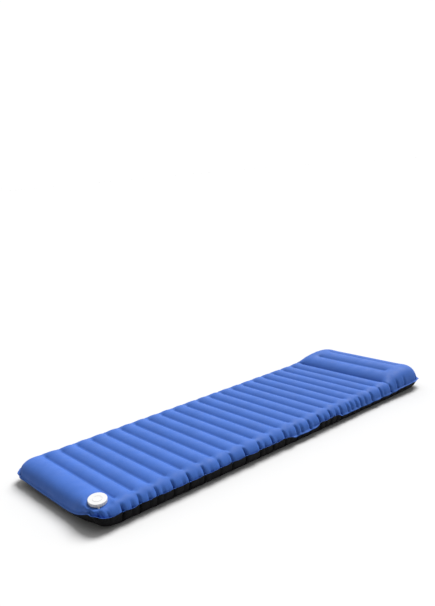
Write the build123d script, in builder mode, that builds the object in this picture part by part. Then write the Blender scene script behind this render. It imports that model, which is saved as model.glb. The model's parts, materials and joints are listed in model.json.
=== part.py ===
"""Inflatable camping mat with a raised pillow: welded fabric sheets, tube baffles and a screw valve.

Millimetres, +Z up, +Y towards the head end. The origin is on the floor under the middle of the mat,
and the valve is in the foot corner on the +X side.
"""
import os

from build123d import *

# ---------------------------------------------------------------- driving dimensions
# Air tubes
tube_pitch = 75.0
tube_count = 21
foot_tube_width = 116.0
pillow_depth = 270.0
furrow_height = 75.0
tube_rise = 13.0

# Envelope
mat_width = 640.0
corner_radius = 95.0
side_radius = 45.0
base_radius = 26.0
trim_allowance = 2.0
seam_height = 26.0
seam_width = 10.0
sheet_thickness = 1.2

# Furrows, where a baffle is welded to the sheets
land_width = 6.0
base_furrow_height = 8.0
base_furrow_width = 40.0

# Pillow
pillow_height = 114.0
pillow_radius = 60.0
pillow_front_rise = 12.0
pillow_middle_rise = 8.0
pillow_furrow_spacing = 97.5
pillow_furrow_heights = (104.0, 106.0)

# Baffles
baffle_thickness = 1.0
baffle_end_gap = 42.0
pillow_baffle_end_gap = 90.0

# Valve, measured along its axis from the outer face of the top sheet
valve_x = 250.0
valve_height = 85.0
valve_tilt = 10.0
valve_heading = -27.0
weld_flange_radius = 42.0
weld_flange_thickness = 1.5
neck_radius = 28.5
neck_wall = 3.0
neck_top = 8.5
neck_bottom = -8.0

# Screw cap
cap_radius = 35.0
cap_bottom = 1.6
cap_ceiling = 9.5
cap_top = 13.0
cap_bore_clearance = 0.4
cap_edge_radius = 1.2
knurl_count = 28
knurl_radius = 1.7
knurl_top = 10.5
swivel_radius = 31.0
swivel_bottom = 0.2

# Strap ring that keeps the cap on the mat
strap_clearance = 0.2
strap_radius = 34.5
strap_bottom = 0.4
strap_thickness = 1.0
strap_tab_reach = 42.0
strap_tab_width = 7.0

# Inflation port in the middle of the screw cap
port_radius = 13.0
stem_radius = 16.0
stem_bottom = 0.0
lid_radius = 18.0
lid_recess_depth = 1.6
lid_recess_clearance = 0.3
lid_height = 2.2
lid_rim_width = 2.5
lid_rim_depth = 0.6
plug_clearance = 0.1
plug_depth = 6.0
plug_wall = 2.0
ring_groove_depth = 0.7
ring_groove_width = 1.6
ring_groove_offset = 3.0

# Check valve at the foot of the inflation port
seat_thickness = 2.0
seat_hub_radius = 3.0
seat_spoke_width = 2.0
seat_rim_width = 2.0
flap_radius = 14.5
flap_thickness = 1.0
flap_gap = 0.1
flap_tongue_width = 7.0
flap_tongue_length = 1.5

# ---------------------------------------------------------------- derived dimensions
mat_length = foot_tube_width + tube_count * tube_pitch + pillow_depth
foot_end = -mat_length / 2
head_end = mat_length / 2
crown_height = furrow_height + tube_rise
furrow_positions = [foot_end + foot_tube_width + i * tube_pitch for i in range(tube_count + 1)]
pillow_front = furrow_positions[-1]
pillow_furrow_positions = [pillow_front + (i + 1) * pillow_furrow_spacing for i in range(2)]
half_land = land_width / 2
seam_plane = Plane.XY.offset(seam_height)

tilt_plane = Plane(
    origin=(valve_x, foot_end + foot_tube_width / 2, valve_height),
    x_dir=Vector(1, 0, 0).rotate(Axis.Z, valve_heading),
    z_dir=(0, 0, 1),
)
valve_plane = Plane(tilt_plane.location * Rotation(0, valve_tilt, 0))


# ---------------------------------------------------------------- shared shapes
def ring(outer_radius, inner_radius, low, high, mode=Mode.ADD):
    """Ring about the valve axis, or a disc where inner_radius is 0."""
    with BuildSketch(valve_plane.offset(low)) as section:
        Circle(outer_radius)
        if inner_radius > 0:
            Circle(inner_radius, mode=Mode.SUBTRACT)
    extrude(section.sketch, amount=high - low, mode=mode)


def rounded_block(inset, top, top_radius):
    """Block with a rounded-rectangle plan and rounded edges, a little taller than the mat at top and
    bottom, so that the tubes and furrows cut all of its flat faces away."""
    with BuildPart() as block:
        with BuildSketch(Plane.XY.offset(inset - trim_allowance)):
            RectangleRounded(mat_width - 2 * inset, mat_length - 2 * inset, corner_radius - inset)
        extrude(amount=top - 2 * inset + 2 * trim_allowance)
        fillet(block.faces().sort_by(Axis.Z)[-1].edges(), top_radius - inset)
        fillet(block.faces().sort_by(Axis.Z)[0].edges(), base_radius - inset)
    return block.part


def top_outline(inset):
    """Upper edge of the long section, from the foot end to the head end."""
    margin = 20.0
    crown = crown_height - inset
    level = furrow_height - inset
    first_land = furrow_positions[0] - half_land
    Line((foot_end - margin, crown), (first_land - tube_pitch / 2, crown))
    TangentArc((first_land - tube_pitch / 2, crown), (first_land, level), tangent=(1, 0))
    for position in furrow_positions:
        Line((position - half_land, level), (position + half_land, level))
    for start in furrow_positions[:-1]:
        middle = start + tube_pitch / 2
        ThreePointArc(
            (start + half_land, level), (middle, crown), (start + tube_pitch - half_land, level)
        )

    front, rear = pillow_furrow_positions
    front_level, rear_level = (height - inset for height in pillow_furrow_heights)
    ThreePointArc(
        (pillow_front + half_land, level),
        ((pillow_front + front) / 2, (level + front_level) / 2 + pillow_front_rise),
        (front - half_land, front_level),
    )
    Line((front - half_land, front_level), (front + half_land, front_level))
    ThreePointArc(
        (front + half_land, front_level),
        ((front + rear) / 2, (front_level + rear_level) / 2 + pillow_middle_rise),
        (rear - half_land, rear_level),
    )
    Line((rear - half_land, rear_level), (rear + half_land, rear_level))
    crest = rear + half_land + tube_pitch / 3
    TangentArc(
        (crest, pillow_height - inset),
        (rear + half_land, rear_level),
        tangent=(-1, 0),
    )
    Line((crest, pillow_height - inset), (head_end + margin, pillow_height - inset))
    Line((head_end + margin, pillow_height - inset), (head_end + margin, inset))
    Line((foot_end - margin, inset), (foot_end - margin, crown))


def base_outline(inset):
    """Lower edge of the long section: flat treads with a furrow under every baffle."""
    margin = 20.0
    land_level = base_furrow_height + inset
    reach = base_furrow_width / 2
    positions = furrow_positions + pillow_furrow_positions
    starts = [foot_end - margin] + [position + reach for position in positions]
    ends = [position - reach for position in positions] + [head_end + margin]
    for start, end in zip(starts, ends):
        Line((start, inset), (end, inset))
    for position in positions:
        TangentArc((position - reach, inset), (position - half_land, land_level), tangent=(1, 0))
        Line((position - half_land, land_level), (position + half_land, land_level))
        TangentArc((position + reach, inset), (position + half_land, land_level), tangent=(-1, 0))


def inflated_form(inset):
    """Closed form of the inflated mat, drawn in from its outer face by inset."""
    pillow_block = rounded_block(inset, pillow_height, pillow_radius)
    with BuildPart() as form:
        add(pillow_block)
        split(bisect_by=Plane((0, pillow_front, 0), z_dir=(0, 1, 0)), keep=Keep.TOP)
        add(rounded_block(inset, crown_height, side_radius))
        with BuildSketch(Plane.YZ):
            with BuildLine():
                top_outline(inset)
                base_outline(inset)
            make_face()
        extrude(amount=mat_width, both=True, mode=Mode.INTERSECT)
        valve_seat(inset)
    return form.part


def valve_seat(inset):
    """Flat round seat for the valve's weld flange, on a short cone that meets the foot tube."""
    seat_radius = weld_flange_radius + 2 * sheet_thickness - inset
    cone_depth = 25.0
    cone_spread = 6.0
    ring(seat_radius, 0, -inset, 2 * cone_depth, mode=Mode.SUBTRACT)
    with BuildSketch(valve_plane.offset(-cone_depth)) as cone_foot:
        Circle(seat_radius + cone_spread)
    with BuildSketch(valve_plane.offset(-inset)) as cone_top:
        Circle(seat_radius)
    loft([cone_foot.sketch.face(), cone_top.sketch.face()])


def flange_strip(thickness):
    """Perimeter weld strip: flat, and as wide outside the form as the seam."""
    with BuildSketch(seam_plane) as strip:
        RectangleRounded(
            mat_width + 2 * seam_width, mat_length + 2 * seam_width, corner_radius + seam_width
        )
        RectangleRounded(
            mat_width - 2 * sheet_thickness,
            mat_length - 2 * sheet_thickness,
            corner_radius - sheet_thickness,
            mode=Mode.SUBTRACT,
        )
    extrude(strip.sketch, amount=thickness)


outer_form = inflated_form(0)
inner_form = inflated_form(sheet_thickness)

# ---------------------------------------------------------------- sheets
with BuildPart() as top_sheet:
    add(outer_form)
    add(inner_form, mode=Mode.SUBTRACT)
    split(bisect_by=seam_plane, keep=Keep.TOP)
    flange_strip(sheet_thickness)
    ring(neck_radius, 0, -2 * sheet_thickness, sheet_thickness, mode=Mode.SUBTRACT)

with BuildPart() as bottom_sheet:
    add(outer_form)
    add(inner_form, mode=Mode.SUBTRACT)
    split(bisect_by=seam_plane, keep=Keep.BOTTOM)
    flange_strip(-sheet_thickness)


# ---------------------------------------------------------------- baffles
def baffle(position, land_height, end_gap):
    """Upright web across the mat with a weld tab along its top and bottom edges."""
    low = base_furrow_height + sheet_thickness
    high = land_height - sheet_thickness
    with BuildPart() as web:
        with BuildSketch(Plane.YZ):
            with Locations((position, (low + high) / 2)):
                Rectangle(baffle_thickness, high - low)
            with Locations((position, low + baffle_thickness / 2), (position, high - baffle_thickness / 2)):
                Rectangle(land_width, baffle_thickness)
        extrude(amount=mat_width / 2 - end_gap, both=True)
    return web.part


baffles = {}
for number, position in enumerate(furrow_positions, start=1):
    baffles[f"tube_baffle_{number:02d}"] = baffle(position, furrow_height, baffle_end_gap)
for name, position, height in zip(("front", "rear"), pillow_furrow_positions, pillow_furrow_heights):
    baffles[f"pillow_baffle_{name}"] = baffle(position, height, pillow_baffle_end_gap)

# ---------------------------------------------------------------- valve base
with BuildPart() as valve_base:
    flange_top = -sheet_thickness
    ring(weld_flange_radius, neck_radius - neck_wall, flange_top - weld_flange_thickness, flange_top)
    ring(neck_radius, neck_radius - neck_wall, neck_bottom, neck_top)

# ---------------------------------------------------------------- screw cap and its parts
with BuildPart() as screw_cap:
    ring(cap_radius, 0, cap_bottom, cap_top)
    fillet(screw_cap.faces().filter_by(GeomType.PLANE).sort_by(Axis.Z)[-1].edges(), cap_edge_radius)
    ring(swivel_radius, 0, swivel_bottom, cap_bottom)
    ring(neck_radius + cap_bore_clearance, 0, swivel_bottom, cap_ceiling, mode=Mode.SUBTRACT)
    ring(stem_radius, 0, stem_bottom, cap_ceiling)
    ring(port_radius, 0, stem_bottom, cap_top, mode=Mode.SUBTRACT)
    ring(
        lid_radius + lid_recess_clearance, 0, cap_top - lid_recess_depth, cap_top, mode=Mode.SUBTRACT
    )
    with BuildSketch(valve_plane.offset(cap_bottom)):
        with PolarLocations(cap_radius + knurl_radius / 2, knurl_count):
            Circle(knurl_radius)
    extrude(amount=knurl_top - cap_bottom, mode=Mode.SUBTRACT)

with BuildPart() as cap_gasket:
    ring(neck_radius, neck_radius - neck_wall, neck_top, cap_ceiling)

with BuildPart() as cap_strap:
    strap_inner_radius = swivel_radius + strap_clearance
    with BuildSketch(valve_plane.offset(strap_bottom)):
        Circle(strap_radius)
        with Locations(((strap_tab_reach - strap_tab_width / 2) / 2, 0)):
            Rectangle(strap_tab_reach - strap_tab_width / 2, strap_tab_width)
        with Locations((strap_tab_reach - strap_tab_width / 2, 0)):
            Circle(strap_tab_width / 2)
        Circle(strap_inner_radius, mode=Mode.SUBTRACT)
    extrude(amount=strap_thickness)

# ---------------------------------------------------------------- inflation port
recess_floor = cap_top - lid_recess_depth
plug_radius = port_radius - plug_clearance
groove_low = recess_floor - ring_groove_offset - ring_groove_width

with BuildPart() as port_lid:
    ring(lid_radius, 0, recess_floor, recess_floor + lid_height)
    ring(
        lid_radius - lid_rim_width,
        0,
        recess_floor + lid_height - lid_rim_depth,
        recess_floor + lid_height,
        mode=Mode.SUBTRACT,
    )
    ring(plug_radius, plug_radius - plug_wall, recess_floor - plug_depth, recess_floor)
    ring(
        plug_radius,
        plug_radius - ring_groove_depth,
        groove_low,
        groove_low + ring_groove_width,
        mode=Mode.SUBTRACT,
    )

with BuildPart() as port_seal:
    ring(plug_radius, plug_radius - ring_groove_depth, groove_low, groove_low + ring_groove_width)

with BuildPart() as check_seat:
    seat_top = stem_bottom + seat_thickness
    ring(port_radius, port_radius - seat_rim_width, stem_bottom, seat_top)
    ring(seat_hub_radius, 0, stem_bottom, seat_top)
    with BuildSketch(valve_plane.offset(stem_bottom)):
        Rectangle(2 * port_radius - seat_rim_width, seat_spoke_width)
        Rectangle(seat_spoke_width, 2 * port_radius - seat_rim_width)
    extrude(amount=seat_thickness)

with BuildPart() as check_flap:
    with BuildSketch(valve_plane.offset(stem_bottom - flap_gap - flap_thickness)):
        Circle(flap_radius)
        with Locations((-flap_radius, 0)):
            Rectangle(2 * flap_tongue_length, flap_tongue_width)
    extrude(amount=flap_thickness)

# ---------------------------------------------------------------- export
pieces = {
    "top_sheet": top_sheet.part,
    "bottom_sheet": bottom_sheet.part,
    **baffles,
    "valve_base": valve_base.part,
    "screw_cap": screw_cap.part,
    "cap_gasket": cap_gasket.part,
    "cap_strap": cap_strap.part,
    "port_lid": port_lid.part,
    "port_seal": port_seal.part,
    "check_seat": check_seat.part,
    "check_flap": check_flap.part,
}

os.makedirs("parts", exist_ok=True)
for name, piece in pieces.items():
    piece.label = name
    export_step(piece, f"parts/{name}.step")
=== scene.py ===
import json
import math

import bpy
import numpy as np
from mathutils import Matrix, Vector


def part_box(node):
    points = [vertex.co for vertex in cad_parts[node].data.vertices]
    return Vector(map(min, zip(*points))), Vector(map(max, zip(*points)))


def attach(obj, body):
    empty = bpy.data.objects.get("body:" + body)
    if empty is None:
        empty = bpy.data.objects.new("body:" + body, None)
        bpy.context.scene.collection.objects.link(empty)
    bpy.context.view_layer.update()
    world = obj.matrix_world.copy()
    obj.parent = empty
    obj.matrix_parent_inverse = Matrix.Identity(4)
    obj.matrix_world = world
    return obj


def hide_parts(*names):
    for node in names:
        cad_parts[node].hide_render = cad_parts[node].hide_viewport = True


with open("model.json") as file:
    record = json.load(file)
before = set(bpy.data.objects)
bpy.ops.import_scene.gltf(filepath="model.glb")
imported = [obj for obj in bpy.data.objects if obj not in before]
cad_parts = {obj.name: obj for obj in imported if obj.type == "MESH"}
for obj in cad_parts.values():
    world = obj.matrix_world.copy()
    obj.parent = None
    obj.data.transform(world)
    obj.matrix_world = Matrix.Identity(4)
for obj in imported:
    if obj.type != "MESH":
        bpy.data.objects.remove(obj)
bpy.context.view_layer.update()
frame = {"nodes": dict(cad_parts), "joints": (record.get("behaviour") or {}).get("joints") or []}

# ------------------------------------------------------------------ sizes read from the frame
SHEET = 0.0012                      # thickness of the CAD sheets
WELD = 0.010                        # width of the perimeter weld strip
TUBES = [name for name in sorted(frame["nodes"]) if name.startswith("tube_baffle_")]
PILLOWS = ["pillow_baffle_front", "pillow_baffle_rear"]


def baffle_line(node):
    """(y, half length, top height, bottom height) of the two lines of cloth that a baffle holds."""
    low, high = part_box(node)
    return (low.y + high.y) / 2, high.x, high.z + SHEET, low.z - SHEET


tube_lines = [baffle_line(node) for node in TUBES]
pillow_lines = [baffle_line(node) for node in PILLOWS]
foot_furrow, _, furrow_height, _ = tube_lines[0]
pillow_front = tube_lines[-1][0]
pitch = (pillow_front - foot_furrow) / (len(tube_lines) - 1)
mat_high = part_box("top_sheet")[1]
cap_turn = next(joint for joint in frame["joints"] if joint["name"] == "cap_turn")
valve_centre = np.array(cap_turn["pos_m"])
valve_axis = np.array(cap_turn["axis"])
neck_radius = 0.0286                # hole in the top sheet for the valve's neck
flange_radius = 0.042               # the valve's weld flange under the top sheet

# ------------------------------------------------------------------ form that the cloth is cut for
STRETCH = 0.004                     # how far the cloth gives all round when it is blown up
half_width = mat_high.x - WELD - STRETCH
half_length = mat_high.y - WELD - 2 * STRETCH    # cut shorter than the CAD, to suit the outline
pillow_crown = mat_high.z - 1.5 * STRETCH
CELL = 0.0062                       # edge of one cloth cell
CORNER = 0.072                      # plan radius of the corners
SEAM_HEIGHT = 0.042                 # higher than the CAD's 26 mm, for a deeper black side
TUBE_SHOULDER = 0.056               # how far the top sheet rounds in from the side
END_SHOULDER = 0.034                # the same on the foot tube and the pillow
SHOULDER_BLEND = 0.06               # length over which one shoulder passes into the other
BASE_SHOULDER = 0.030               # how far the bottom sheet rounds in from the side
SHOULDER_RISE = 0.058               # height that the top shoulder's cloth is cut for
TUBE_RISE = 0.0085                  # crown of a tube above its furrows
FOOT_RISE = 0.004                   # the same for the wide foot tube
FRONT_RISE = 0.004                  # bulge of the pillow's front slope
MIDDLE_RISE = 0.002                 # the same between the pillow's two furrows
FOOT_EASE = 0.045                   # length over which the foot tube leaves its furrow
HEAD_EASE = 0.024                   # the same behind the pillow's rear furrow

# Creases down the side walls, where the cloth between two furrows is longer than the wall
CREASE_DEPTH = 0.024
CREASE_WIDTH = 0.0052
PILLOW_CREASES = ((0.065, 0.7), (0.12, 0.4))    # distance behind the pillow's front, strength
CREASE_TOP = 0.62                   # share of the shoulder's width where the creases begin
CORNER_CREASES = (16, 44, 72)       # degrees round a corner
CORNER_CREASE_DEPTH = 0.008
CORNER_CREASE_WIDTH = 6             # degrees
SEED = 3
chance = np.random.default_rng(SEED)


def arch(y, y0, z0, y1, z1, rise):
    """Height of a shallow arch from (y0, z0) to (y1, z1)."""
    t = (y - y0) / (y1 - y0)
    return z0 + (z1 - z0) * t + 4 * rise * t * (1 - t)


def top_height(y):
    """Height of the top sheet along the middle of the mat."""
    (front, _, front_z, _), (rear, _, rear_z, _) = pillow_lines
    t = ((y - foot_furrow) / pitch) % 1.0
    z = furrow_height + 4 * TUBE_RISE * t * (1 - t)
    t = np.clip((foot_furrow - y) / FOOT_EASE, 0, 1)
    z = np.where(y < foot_furrow, furrow_height + FOOT_RISE * (1 - (1 - t) ** 2), z)
    z = np.where(y >= pillow_front, arch(y, pillow_front, furrow_height, front, front_z, FRONT_RISE), z)
    z = np.where(y >= front, arch(y, front, front_z, rear, rear_z, MIDDLE_RISE), z)
    t = np.clip((y - rear) / HEAD_EASE, 0, 1)
    return np.where(y >= rear, rear_z + (pillow_crown - rear_z) * (1 - (1 - t) ** 2), z)


def shoulder_width(y):
    """Width of the top sheet's shoulder along the mat."""
    along = np.clip(np.minimum(y - foot_furrow, pillow_front - y) / SHOULDER_BLEND, 0, 1)
    return END_SHOULDER + (TUBE_SHOULDER - END_SHOULDER) * along


def quarter_length(across, up):
    """Lengths of quarter ellipses."""
    t = np.linspace(0, math.pi / 2, 200)[:, None]
    steps = np.hypot(np.diff(across * np.sin(t), axis=0), np.diff(up * np.cos(t), axis=0))
    return steps.sum(axis=0)


def core_rows():
    """y of each cloth row between the corner blocks, with a row on every furrow."""
    marks = [CORNER - half_length] + [line[0] for line in tube_lines]
    marks += [pillow_lines[0][0], half_length - CORNER]
    rows = []
    for start, end in zip(marks[:-1], marks[1:]):
        count = max(2, round((end - start) * 1.08 / CELL))
        rows += list(np.linspace(start, end, count, endpoint=False))
    return np.array(rows + [marks[-1]])


def cloth_lengths(rows):
    """Distance along the top cloth at each row."""
    total = [0.0]
    for start, end in zip(rows[:-1], rows[1:]):
        y = np.linspace(start, end, 9)
        total.append(total[-1] + np.hypot(np.diff(y), np.diff(top_height(y))).sum())
    return np.array(total)


def side_creases():
    """(y, strength) of the creases of one side: one at each furrow, and some between."""
    creases = []
    for y, *_ in tube_lines:
        creases.append((y + chance.normal() * 0.003, chance.uniform(0.7, 1.15)))
        if chance.random() < 0.6:
            creases.append((y + pitch * chance.uniform(0.3, 0.7), chance.uniform(0.25, 0.6)))
    return creases + [(pillow_front + distance, strength) for distance, strength in PILLOW_CREASES]


def crease_depth(place, creases, width):
    """Depth of the deepest crease at each place, as a share of the full depth."""
    depth = np.zeros_like(place)
    for middle, strength in creases:
        depth = np.maximum(depth, strength * np.exp(-((place - middle) / width) ** 2))
    return depth


crease_plan = {side: side_creases() for side in (-1, 1)}
corner_plan = {
    (x_side, y_side): [(angle + chance.normal() * 3, chance.uniform(0.7, 1.1)) for angle in CORNER_CREASES]
    for x_side in (-1, 1)
    for y_side in (-1, 1)
}


def make_panel(is_top):
    """One sheet as a grid: its place on the smooth form, and where each point lies on the flat cut panel.

    The four corner blocks bend a square grid round a quarter circle.
    """
    rows = core_rows()
    lengths = cloth_lengths(rows)
    corner_cells = round((CORNER - END_SHOULDER + quarter_length(END_SHOULDER, SHOULDER_RISE)[0]) / CELL)
    core = half_width - CORNER
    columns = np.linspace(-core, core, round(2 * core / CELL / 1.1) + 1)
    step = np.arange(1, corner_cells + 1) / corner_cells

    def padded_axis(values):
        block = np.concatenate([-step[::-1], np.zeros(len(values)), step])
        return block, np.concatenate(
            [np.full(corner_cells, values[0]), values, np.full(corner_cells, values[-1])]
        )

    s, x0 = padded_axis(columns)
    t, y0 = padded_axis(rows)
    _, v0 = padded_axis(lengths)
    s, t = np.meshgrid(s, t, indexing="ij")
    shoulder = shoulder_width(y0) if is_top else np.full_like(y0, BASE_SHOULDER)
    side = quarter_length(shoulder, SHOULDER_RISE if is_top else SEAM_HEIGHT)
    flat_corner = CORNER - shoulder + side
    qx = s * np.sqrt(1 - t * t / 2) * flat_corner
    qy = t * np.sqrt(1 - s * s / 2) * flat_corner
    reach = np.hypot(qx, qy)
    flat = np.stack([x0[:, None] + qx, v0[None, :] + qy], -1)

    flat_reach = CORNER - shoulder
    angle = np.clip((reach - flat_reach) / side, 0, 1) * math.pi / 2
    plan = np.where(reach <= flat_reach, reach, flat_reach + shoulder * np.sin(angle))
    share = np.where(reach <= flat_reach, 1.0, np.cos(angle))
    lower_wall = np.clip((np.sin(angle) - CREASE_TOP) / (1 - CREASE_TOP), 0, 1)
    plan = plan - crease_push(s, t, y0, qx, qy) * lower_wall
    scale = plan / np.maximum(reach, 1e-9)
    x = x0[:, None] + qx * scale
    y = y0[None, :] + qy * scale
    if is_top:
        z = SEAM_HEIGHT + share * (top_height(y) - SEAM_HEIGHT)
    else:
        z = SEAM_HEIGHT * (1 - share)
    return np.stack([x, y, z], -1), flat


def crease_push(s, t, y0, qx, qy):
    """How far the creases draw each point of the side walls inwards."""
    push = np.zeros_like(s)
    along = np.broadcast_to(y0[None, :], s.shape)
    turn = np.degrees(np.arctan2(abs(qy), abs(qx)))
    for x_side in (-1, 1):
        wall = (s * x_side > 0) & (t == 0)
        push[wall] = CREASE_DEPTH * crease_depth(along[wall], crease_plan[x_side], CREASE_WIDTH)
        for y_side in (-1, 1):
            corner = (s * x_side > 0) & (t * y_side > 0)
            depth = crease_depth(turn[corner], corner_plan[x_side, y_side], CORNER_CREASE_WIDTH)
            push[corner] = CORNER_CREASE_DEPTH * depth
    return push


# ------------------------------------------------------------------ cloth simulation
STEPS = 280
PRESSURE_STEP = 0.00006             # outward move per step, which stands for the air pressure
PUSH_BACK = 0.25                    # how well the cloth withstands being shortened
SLACK = 0.6                         # share of the spare cloth of the rim that stays in it
SHEAR = 0.3                         # stiffness along the diagonals of the cells
HOLD_FADE = 0.012                   # a baffle's ends hold the cloth too softly to show
BEND = 0.035                        # how well the cloth withstands being bent
RUMPLED_EDGE = 0.062                # width of the sides that start uneven
RUMPLE_FADE = 0.03
RUMPLE = 0.0012                     # size of the first unevenness along the sides
SEAT_RADIUS = flange_radius + 1.3 * CELL    # flat round seat that covers the valve's weld flange
SEAT_DEPTH = 0.0003                 # how far the seat lies under the valve's own zero plane


def spacing(grid, i, j):
    """Distance between neighbours i columns and j rows apart on the grid."""
    if j < 0:
        return np.linalg.norm(grid[i:, :j] - grid[:-i, -j:], axis=-1)
    columns = slice(None, -i) if i else slice(None)
    rows = slice(None, -j) if j else slice(None)
    return np.linalg.norm(grid[i:, j:] - grid[columns, rows], axis=-1)


def rest_lengths(grid, flat):
    """Lengths between the form's and the cut panel's, never shorter than the form's."""
    rest = []
    for step in ((1, 0), (0, 1), (1, 1), (1, -1)):
        formed, cut = spacing(grid, *step), spacing(flat, *step)
        rest.append(formed + SLACK * np.maximum(cut - formed, 0))
    return rest


def fit_pairs(a, b, rest, stiffness=1.0):
    """Moves pairs of points towards the length of the cloth between them."""
    gap = b - a
    length = np.sqrt((gap * gap).sum(-1))
    excess = length - rest
    pull = np.where(excess > 0, excess, PUSH_BACK * excess) * (0.5 * stiffness) / np.maximum(length, 1e-9)
    gap *= pull[..., None]
    a += gap
    b -= gap


def fit_cloth(grid, rest):
    """One sweep over the columns, the rows and both diagonals, every other pair at a time."""
    along_i, along_j, down, up = rest
    for first in (0, 1):
        count = (grid.shape[0] - first) // 2
        a = grid[first:first + 2 * count:2]
        b = grid[first + 1:first + 2 * count:2]
        fit_pairs(a, b, along_i[first::2][:count])
        fit_pairs(a[:, :-1], b[:, 1:], down[first::2][:count], SHEAR)
        fit_pairs(a[:, 1:], b[:, :-1], up[first::2][:count], SHEAR)
    for first in (0, 1):
        count = (grid.shape[1] - first) // 2
        a = grid[:, first:first + 2 * count:2]
        b = grid[:, first + 1:first + 2 * count:2]
        fit_pairs(a, b, along_j[:, first::2][:, :count])


def grid_normals(grid):
    """Unit normals, up on a panel that lies flat."""
    normal = np.cross(np.gradient(grid, axis=0), np.gradient(grid, axis=1))
    return normal / np.maximum(np.linalg.norm(normal, axis=-1, keepdims=True), 1e-12)


def unevenness(grid):
    """How far each inner point lies from the middle of its four neighbours."""
    result = np.zeros_like(grid)
    around = grid[2:, 1:-1] + grid[:-2, 1:-1] + grid[1:-1, 2:] + grid[1:-1, :-2]
    result[1:-1, 1:-1] = around / 4 - grid[1:-1, 1:-1]
    return result


def held_lines(grid, height_index):
    """Welded columns, covering columns, row, y and height of each line of cloth over a baffle."""
    rows = grid[grid.shape[0] // 2, :, 1]
    lines = []
    for line in tube_lines + pillow_lines:
        row = int(np.argmin(abs(rows - line[0])))
        across = abs(grid[:, row, 0])
        welded = np.where(across <= line[1] - HOLD_FADE)[0]
        covering = np.where(across <= line[1] + CELL)[0]
        lines.append((welded, covering, row, line[0], line[height_index]))
    return lines


def valve_coordinates(points):
    """Height over the valve's zero plane, and the way out from its axis."""
    offset = points - valve_centre
    height = offset @ valve_axis
    return height, offset - height[..., None] * valve_axis


def valve_seat(grid):
    """Which points of the top sheet are welded to the valve's flange, and where they lie."""
    height, across = valve_coordinates(grid)
    seated = (np.linalg.norm(across, axis=-1) < SEAT_RADIUS) & (abs(height) < 0.03)
    return seated, valve_centre + across[seated] - SEAT_DEPTH * valve_axis


RIM = ((0, slice(None)), (-1, slice(None)), (slice(None), 0), (slice(None), -1))


def inflate():
    """Blows up the top and base sheets, welded along their rim and held by the baffles and the valve."""
    top, top_flat = make_panel(True)
    base, base_flat = make_panel(False)
    top_rest, base_rest = rest_lengths(top, top_flat), rest_lengths(base, base_flat)
    for side in (0, -1):
        base_rest[1][side] = top_rest[1][side]
        base_rest[0][:, side] = top_rest[0][:, side]
    sheets = (
        (top, 1.0, top_rest, held_lines(top, 2)),
        (base, -1.0, base_rest, held_lines(base, 3)),
    )
    rumple = chance.normal(size=top.shape) * RUMPLE
    for _ in range(3):
        rumple += unevenness(rumple)
    near_side = np.clip((abs(top[..., 0]) - half_width + RUMPLED_EDGE) / RUMPLE_FADE, 0, 1)
    top += rumple * near_side[..., None]
    seated, seat_places = valve_seat(top)

    for _ in range(STEPS):
        for grid, outward, rest, lines in sheets:
            grid += PRESSURE_STEP * outward * grid_normals(grid)
            fit_cloth(grid, rest)
            fit_cloth(grid, rest)
            grid -= BEND * unevenness(unevenness(grid))
            for welded, covering, row, y, z in lines:
                grid[welded, row, 1] = y
                grid[welded, row, 2] = z
                clear = outward * np.maximum(outward * grid[covering, row, 2], outward * z)
                grid[covering, row, 2] = clear
            np.maximum(grid[..., 2], 0, out=grid[..., 2])
        top[seated] = seat_places
        for edge in RIM:
            middle = (top[edge] + base[edge]) / 2
            top[edge] = middle
            base[edge] = middle
    return (top, top_flat), (base, base_flat)


# ------------------------------------------------------------------ weld strip round the seam
STRIP_STEPS = (0.0025, 0.0055, 0.0085, WELD)
STRIP_THICKNESS = 0.0009
CORNER_FLAP = 0.5                   # how much wider the strip is on the corners, as a share
# How far the strip is folded, in degrees up from level, along each edge of the mat
RIGHT_FOLD = (
    (-0.95, 45), (-0.88, 70), (-0.02, 70), (0.02, -40), (0.14, -40), (0.18, 70),
    (0.30, 70), (0.33, -55), (0.74, -55), (0.78, -5), (0.98, 5),
)
LEFT_FOLD = ((-0.95, 25), (-0.85, 0), (-0.6, -30), (0.0, 40), (0.5, -35), (0.95, 0))
FOOT_FOLD = ((-0.30, 25), (-0.24, -62), (0.20, -62), (0.28, 35))
HEAD_FOLD = ((-0.33, -20), (0.0, -45), (0.33, 0))
FOLD_WAVER = 9                      # degrees


def rim_loop(shape):
    """Grid indices once round the rim, anticlockwise seen from above."""
    index = np.arange(shape[0] * shape[1]).reshape(shape)
    return np.concatenate([index[:-1, 0], index[-1, :-1], index[:0:-1, -1], index[0, :0:-1]])


def blurred(values, passes):
    """Smooths values along a closed loop."""
    for _ in range(passes):
        values = (np.roll(values, 1, axis=0) + 2 * values + np.roll(values, -1, axis=0)) / 4
    return values


def fold_angles(seam, outward):
    """Fold of the strip at each point of the seam, in radians."""
    def along(place, table):
        return np.interp(place, *zip(*table))
    on_side = np.where(outward[:, 0] > 0, along(seam[:, 1], RIGHT_FOLD), along(seam[:, 1], LEFT_FOLD))
    on_end = np.where(outward[:, 1] > 0, along(seam[:, 0], HEAD_FOLD), along(seam[:, 0], FOOT_FOLD))
    share = outward[:, 0] ** 2
    waver = blurred(chance.normal(size=len(seam)), 12)
    angles = share * on_side + (1 - share) * on_end + FOLD_WAVER * waver / waver.std()
    return np.radians(blurred(angles, 3))


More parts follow.
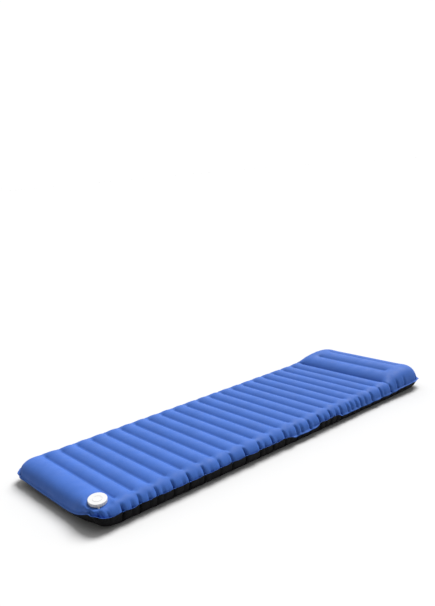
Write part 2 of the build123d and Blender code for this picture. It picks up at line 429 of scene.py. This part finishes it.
def weld_strip(grid):
    """Rows of points from the seam to the strip's edge, and the strip's unit normals."""
    loop = rim_loop(grid.shape[:2])
    seam = grid.reshape(-1, 3)[loop]
    smooth = blurred(seam, 25)
    tangent = np.roll(smooth, -1, axis=0) - np.roll(smooth, 1, axis=0)
    outward = np.stack([tangent[:, 1], -tangent[:, 0], np.zeros(len(loop))], -1)
    outward /= np.linalg.norm(outward, axis=1, keepdims=True)
    up = np.array([0.0, 0.0, 1.0])
    fold = fold_angles(seam, outward)[:, None]
    diagonal = 2 * abs(outward[:, 0] * outward[:, 1])[:, None]
    widening = 1 + CORNER_FLAP * np.clip(diagonal * 4 - 3, 0, 1)
    rows, normals = [], []
    place, last = seam, 0.0
    evened = blurred(seam, 8)
    for number, width in enumerate(STRIP_STEPS):
        place = 0.6 * place + 0.4 * (evened + place - seam) if number else place
        angle = fold * min(1.0, 0.6 + 0.3 * number)
        place = place + (width - last) * widening * (np.cos(angle) * outward + np.sin(angle) * up)
        place[:, 2] = np.maximum(place[:, 2], STRIP_THICKNESS)
        last = width
        rows.append(place)
        normals.append(np.cos(angle) * up - np.sin(angle) * outward)
    return loop, rows, normals


# ------------------------------------------------------------------ materials
def new_material(name, colour, roughness):
    """A material, its Principled shader and its node tree."""
    material = bpy.data.materials.new(name)
    material.use_nodes = True
    shader = material.node_tree.nodes["Principled BSDF"]
    shader.inputs["Base Color"].default_value = colour
    shader.inputs["Roughness"].default_value = roughness
    return material, shader, material.node_tree


def add_node(tree, kind, inputs=None, **settings):
    """A shader node with some of its inputs set to values or linked to sockets."""
    node = tree.nodes.new(kind)
    for key, value in settings.items():
        setattr(node, key, value)
    for key, value in (inputs or {}).items():
        if isinstance(value, bpy.types.NodeSocket):
            tree.links.new(value, node.inputs[key])
        else:
            node.inputs[key].default_value = value
    return node


YARN = 0.0006                       # width of one yarn
WEAVE_HEIGHT = 0.00005


def fabric(name, colour, roughness, sheen):
    """Coated plain-weave fabric: yarns both ways, faint mottling and scuffs."""
    material, shader, tree = new_material(name, colour, roughness)
    shader.inputs["Sheen Weight"].default_value = sheen
    shader.inputs["Sheen Roughness"].default_value = 0.4
    shader.inputs["Specular IOR Level"].default_value = 0.12
    flat = add_node(tree, "ShaderNodeTexCoord").outputs["UV"]
    yarns = []
    for direction in ("X", "Y"):
        wave = add_node(
            tree, "ShaderNodeTexWave", {"Vector": flat, "Scale": 0.314 / YARN / 2},
            wave_type="BANDS", bands_direction=direction,
        )
        yarns.append(wave.outputs["Fac"])
    weave = add_node(tree, "ShaderNodeMath", {0: yarns[0], 1: yarns[1]}, operation="MAXIMUM").outputs[0]
    dents = add_node(tree, "ShaderNodeTexNoise", {"Vector": flat, "Scale": 60.0, "Detail": 4.0})
    height = add_node(
        tree, "ShaderNodeMath", {0: dents.outputs["Fac"], 1: 6.0, 2: weave}, operation="MULTIPLY_ADD"
    )
    bump = add_node(tree, "ShaderNodeBump", {
        "Height": height.outputs[0], "Distance": WEAVE_HEIGHT, "Strength": 0.6,
    })
    tree.links.new(bump.outputs["Normal"], shader.inputs["Normal"])
    mottle = add_node(tree, "ShaderNodeTexNoise", {"Vector": flat, "Scale": 9.0, "Detail": 5.0})
    darker = add_node(tree, "ShaderNodeMapRange", {
        "Value": mottle.outputs["Fac"], "From Min": 0.3, "From Max": 0.7, "To Min": 0.93, "To Max": 1.05,
    })
    tint = add_node(tree, "ShaderNodeMix", {
        "Factor": 1.0, 6: colour, 7: darker.outputs["Result"],
    }, data_type="RGBA", blend_type="MULTIPLY")
    tree.links.new(tint.outputs[2], shader.inputs["Base Color"])
    scuffs = add_node(tree, "ShaderNodeTexNoise", {"Vector": flat, "Scale": 25.0, "Detail": 8.0})
    rough = add_node(tree, "ShaderNodeMapRange", {
        "Value": scuffs.outputs["Fac"], "From Min": 0.35, "From Max": 0.7,
        "To Min": roughness - 0.06, "To Max": roughness + 0.12,
    })
    tree.links.new(rough.outputs["Result"], shader.inputs["Roughness"])
    return material


def moulded(name, colour, roughness):
    """Moulded plastic or silicone with a fine spark-eroded grain."""
    material, shader, tree = new_material(name, colour, roughness)
    place = add_node(tree, "ShaderNodeTexCoord").outputs["Object"]
    grain = add_node(tree, "ShaderNodeTexNoise", {"Vector": place, "Scale": 1800.0, "Detail": 2.0})
    bump = add_node(tree, "ShaderNodeBump", {
        "Height": grain.outputs["Fac"], "Distance": 0.00005, "Strength": 0.4,
    })
    tree.links.new(bump.outputs["Normal"], shader.inputs["Normal"])
    handling = add_node(tree, "ShaderNodeTexNoise", {"Vector": place, "Scale": 120.0, "Detail": 6.0})
    rough = add_node(tree, "ShaderNodeMapRange", {
        "Value": handling.outputs["Fac"], "From Min": 0.35, "From Max": 0.7,
        "To Min": roughness - 0.05, "To Max": roughness + 0.12,
    })
    tree.links.new(rough.outputs["Result"], shader.inputs["Roughness"])
    return material


blue = fabric("blue_coated_fabric", (0.044, 0.124, 0.435, 1), 0.58, 0.0)
black = fabric("black_coated_fabric", (0.0035, 0.0035, 0.0045, 1), 0.65, 0.0)
grey = fabric("baffle_fabric", (0.5, 0.53, 0.56, 1), 0.7, 0.1)
white = moulded("white_moulded_plastic", (0.62, 0.62, 0.62, 1), 0.35)
matt_white = moulded("matt_white_plastic", (0.55, 0.55, 0.55, 1), 0.5)
silicone = moulded("silicone", (0.5, 0.52, 0.53, 1), 0.45)


# ------------------------------------------------------------------ sheets as meshes
def grid_quads(shape):
    """Faces between the points of a grid."""
    index = np.arange(shape[0] * shape[1]).reshape(shape)
    return np.stack([index[:-1, :-1], index[1:, :-1], index[1:, 1:], index[:-1, 1:]], -1).reshape(-1, 4)


def open_neck(points, quads):
    """Cuts the round hole for the valve's neck: drops the faces inside it and rounds its edge."""
    height, across = valve_coordinates(points)
    distance = np.linalg.norm(across, axis=-1)
    inside = (distance < neck_radius) & (abs(height) < 0.01)
    quads = quads[~inside[quads].all(axis=1)]
    moved = across[inside] / distance[inside, None] * neck_radius
    points[inside] = valve_centre + moved - SEAT_DEPTH * valve_axis
    return quads


def strip_quads(loop, first, count):
    """Faces between the seam and the rows of the strip."""
    rows = [loop] + [first + number * len(loop) + np.arange(len(loop)) for number in range(count)]
    faces = [
        np.stack([inner, outer, np.roll(outer, -1), np.roll(inner, -1)], -1)
        for inner, outer in zip(rows[:-1], rows[1:])
    ]
    return np.concatenate(faces)


def sheet_object(name, grid, flat, material, is_top):
    """A sheet with its half of the weld strip, and the flat cut panel as its UV map."""
    points = grid.reshape(-1, 3).copy()
    quads = grid_quads(grid.shape[:2])
    if is_top:
        quads = open_neck(points, quads)
    loop, rows, normals = weld_strips
    gap = 0.0 if is_top else STRIP_THICKNESS
    strip = [row - gap * normal for row, normal in zip(rows, normals)]
    if is_top:
        strip.append(rows[-1] - STRIP_THICKNESS * normals[-1])
    quads = np.concatenate([quads, strip_quads(loop, len(points), len(strip))])
    flat_loop = flat.reshape(-1, 2)[loop]
    away = rows[-1][:, :2] - grid.reshape(-1, 3)[loop][:, :2]
    away /= np.maximum(np.linalg.norm(away, axis=1, keepdims=True), 1e-4)
    flat_strip = [flat_loop + away * width for width in STRIP_STEPS + (WELD + STRIP_THICKNESS,)]
    points = np.concatenate([points] + strip)
    flat_points = np.concatenate([flat.reshape(-1, 2)] + flat_strip[:len(strip)])
    if not is_top:
        quads = quads[:, ::-1]
    mesh = bpy.data.meshes.new(name)
    mesh.from_pydata(points.tolist(), [], quads.tolist())
    uv = mesh.uv_layers.new(name="flat")
    uv.data.foreach_set("uv", flat_points[quads.reshape(-1)].ravel())
    mesh.polygons.foreach_set("use_smooth", np.ones(len(quads), bool))
    mesh.materials.append(material)
    piece = bpy.data.objects.new(name, mesh)
    bpy.context.scene.collection.objects.link(piece)
    return piece


(top_grid, top_flat), (base_grid, base_flat) = inflate()
weld_strips = weld_strip(top_grid)
for sheet, grid, flat, material, slot in (
    ("top", top_grid, top_flat, blue, "blue_fabric"),
    ("bottom", base_grid, base_flat, black, "black_fabric"),
):
    piece = sheet_object("inflated_" + sheet, grid, flat, material, sheet == "top")
    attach(piece, "mattress")
    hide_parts(sheet + "_sheet")


def repaint(node, material):
    """Gives a CAD node a better material."""
    mesh = frame["nodes"][node].data
    mesh.materials.clear()
    mesh.materials.append(material)


for node in TUBES + PILLOWS:
    repaint(node, grey)
for node in ("screw_cap", "cap_strap", "port_lid"):
    repaint(node, white)
for node in ("check_seat", "valve_base"):
    repaint(node, matt_white)
for node in ("cap_gasket", "port_seal", "check_flap"):
    repaint(node, silicone)


# ------------------------------------------------------------------ stage, light and camera
def add_camera():
    """Camera beyond the foot corner that has the valve, looking down over the mat."""
    place = Vector((2.2630, -1.9824, 1.2266))
    yaw, pitch_down, roll = (math.radians(angle) for angle in (50.14, 11.72, -4.48))
    level = math.cos(pitch_down)
    forward = Vector((-math.sin(yaw) * level, math.cos(yaw) * level, -math.sin(pitch_down)))
    right = Vector((math.cos(yaw), math.sin(yaw), 0))
    up = right.cross(forward)
    tilted_right = math.cos(roll) * right + math.sin(roll) * up
    tilted_up = math.cos(roll) * up - math.sin(roll) * right
    data = bpy.data.cameras.new("camera")
    data.lens = 40.53
    camera = bpy.data.objects.new("camera", data)
    bpy.context.scene.collection.objects.link(camera)
    axes = Matrix((tilted_right, tilted_up, -forward)).transposed().to_4x4()
    camera.matrix_world = Matrix.Translation(place) @ axes
    bpy.context.scene.camera = camera


def add_sun(heading, elevation, spread, strength):
    """Soft sun from a heading, anticlockwise from +X, and an elevation, in degrees."""
    data = bpy.data.lights.new("key", "SUN")
    data.angle = math.radians(spread)
    data.energy = strength
    lamp = bpy.data.objects.new("key", data)
    bpy.context.scene.collection.objects.link(lamp)
    turn, height = math.radians(heading), math.radians(elevation)
    level = math.cos(height)
    towards = Vector((math.cos(turn) * level, math.sin(turn) * level, math.sin(height)))
    lamp.rotation_euler = towards.to_track_quat("Z", "Y").to_euler()


def add_floor():
    """Pale matt floor just under the mat."""
    mesh = bpy.data.meshes.new("floor")
    mesh.from_pydata([(-60, -60, 0), (60, -60, 0), (60, 60, 0), (-60, 60, 0)], [], [(0, 1, 2, 3)])
    material, shader, _ = new_material("pale_floor", (0.62, 0.62, 0.62, 1), 1.0)
    shader.inputs["Specular IOR Level"].default_value = 0.0
    mesh.materials.append(material)
    floor = bpy.data.objects.new("floor", mesh)
    bpy.context.scene.collection.objects.link(floor)
    floor.location.z = -0.0005


def add_world():
    """Studio walls: bright beyond the head end, dim beyond the foot end above a bright skirting."""
    world = bpy.data.worlds.new("studio")
    world.use_nodes = True
    tree = world.node_tree
    direction = add_node(tree, "ShaderNodeTexCoord").outputs["Generated"]
    facing = add_node(tree, "ShaderNodeVectorMath", {
        0: direction, 1: (-0.6, 0.8, 0.0),
    }, operation="DOT_PRODUCT")
    wall = add_node(tree, "ShaderNodeMapRange", {
        "Value": facing.outputs["Value"], "From Min": -0.5, "From Max": 0.5, "To Min": 0.10, "To Max": 1.02,
    })
    height = add_node(tree, "ShaderNodeSeparateXYZ", {"Vector": direction}).outputs["Z"]
    skirting = add_node(tree, "ShaderNodeMapRange", {
        "Value": height, "From Min": 0.22, "From Max": 0.34, "To Min": 0.55, "To Max": 0.08,
    })
    glow = add_node(tree, "ShaderNodeMath", {
        0: wall.outputs["Result"], 1: skirting.outputs["Result"],
    }, operation="MAXIMUM")
    tree.links.new(glow.outputs[0], tree.nodes["Background"].inputs["Strength"])
    bpy.context.scene.world = world
    tree.nodes["Background"].inputs["Color"].default_value = (1, 1, 1, 1)


add_camera()
add_floor()
add_world()
add_sun(heading=105, elevation=54, spread=35, strength=4.2)
bpy.context.scene.view_settings.view_transform = "Standard"
